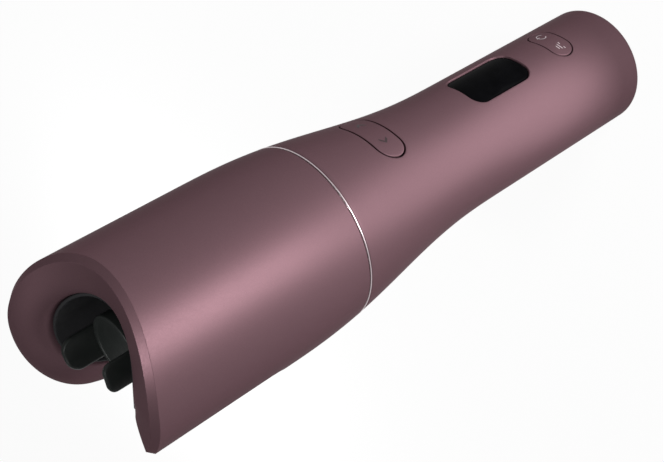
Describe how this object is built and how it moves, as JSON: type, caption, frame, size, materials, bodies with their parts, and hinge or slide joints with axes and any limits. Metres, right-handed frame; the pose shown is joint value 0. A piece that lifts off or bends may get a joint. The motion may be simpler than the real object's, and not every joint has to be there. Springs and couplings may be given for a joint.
{
  "type": "automatic hair curler",
  "caption": "Cordless automatic hair curler: scroll-shaped open head with a heated barrel and a turning pronged fork, and a flared handle with a window and rocker buttons.",
  "frame": {"origin": "middle of the handle's flat end, on which the part stands", "axes": "+Z along the axis from the handle's end to the tip; the buttons and the window face -Y; the high lip of the mouth is on the +X side and the slot opens towards +Y"},
  "size_m": [0.066, 0.066, 0.2471],
  "materials": {
    "body_satin": "satin metallic paint",
    "chrome": "polished",
    "liner_black": "matt",
    "fork_black": "satin",
    "barrel_black": "glazed",
    "gear_white": "moulded",
    "bronze": "sintered",
    "steel": "brushed",
    "aluminium": "extruded",
    "ceramic": "matt",
    "frame_grey": "moulded",
    "window_black": "gloss",
    "board_green": "solder mask",
    "cell_wrap": "shrink wrap"
  },
  "bodies": {
    "body": {"head_shell": "body_satin", "handle_shell": "body_satin", "base_cap": "body_satin", "seam_ring": "chrome", "chamber_liner": "liner_black", "barrel_base": "liner_black", "barrel_cap": "fork_black", "heated_barrel": "barrel_black", "motor_gearhead": "steel", "motor_can": "steel", "barrel_stem": "steel", "plate_screw_1": "steel", "plate_screw_2": "steel", "plate_screw_3": "steel", "direction_pin": "steel", "function_pin": "steel", "battery_link": "steel", "charge_socket": "steel", "heat_spreader": "aluminium", "heating_element": "ceramic", "temperature_sensor": "ceramic", "gear_plate": "frame_grey", "battery_tray": "frame_grey", "direction_frame": "frame_grey", "direction_switch_left": "frame_grey", "direction_switch_right": "frame_grey", "function_switch_left": "frame_grey", "function_switch_right": "frame_grey", "display_module": "frame_grey", "display_window": "window_black", "display_glass": "window_black", "control_board": "board_green", "direction_board": "board_green", "charge_board": "board_green", "battery_cell_left": "cell_wrap", "battery_cell_right": "cell_wrap"},
    "rotor": {"rotor_fork": "fork_black", "rotor_gear": "gear_white", "rotor_bush": "bronze"},
    "pinion": {"motor_pinion": "steel", "motor_shaft": "steel"},
    "direction_rocker": {"direction_button": "body_satin"},
    "function_rocker": {"function_button": "body_satin"}
  },
  "joints": [
    {"name": "rotor_spin", "type": "hinge", "parent": "body", "child": "rotor", "pos_m": [0, 0, 0.167], "axis": [0, 0, 1], "continuous": true},
    {"name": "pinion_spin", "type": "hinge", "parent": "body", "child": "pinion", "pos_m": [0, 0.0161, 0.165], "axis": [0, 0, 1], "continuous": true},
    {"name": "direction_rock", "type": "hinge", "parent": "body", "child": "direction_rocker", "pos_m": [0, -0.02191, 0.1237], "axis": [0, 0, 1], "range_deg": [-2, 2], "stiffness_Nm_per_rad": 0.6},
    {"name": "function_rock", "type": "hinge", "parent": "body", "child": "function_rocker", "pos_m": [0, -0.0182, 0.0294], "axis": [0, 0, 1], "range_deg": [-2, 2], "stiffness_Nm_per_rad": 0.6}
  ],
  "couplings": [
    {"joint": "pinion_spin", "follows": "rotor_spin", "ratio": -2.8333}
  ]
}
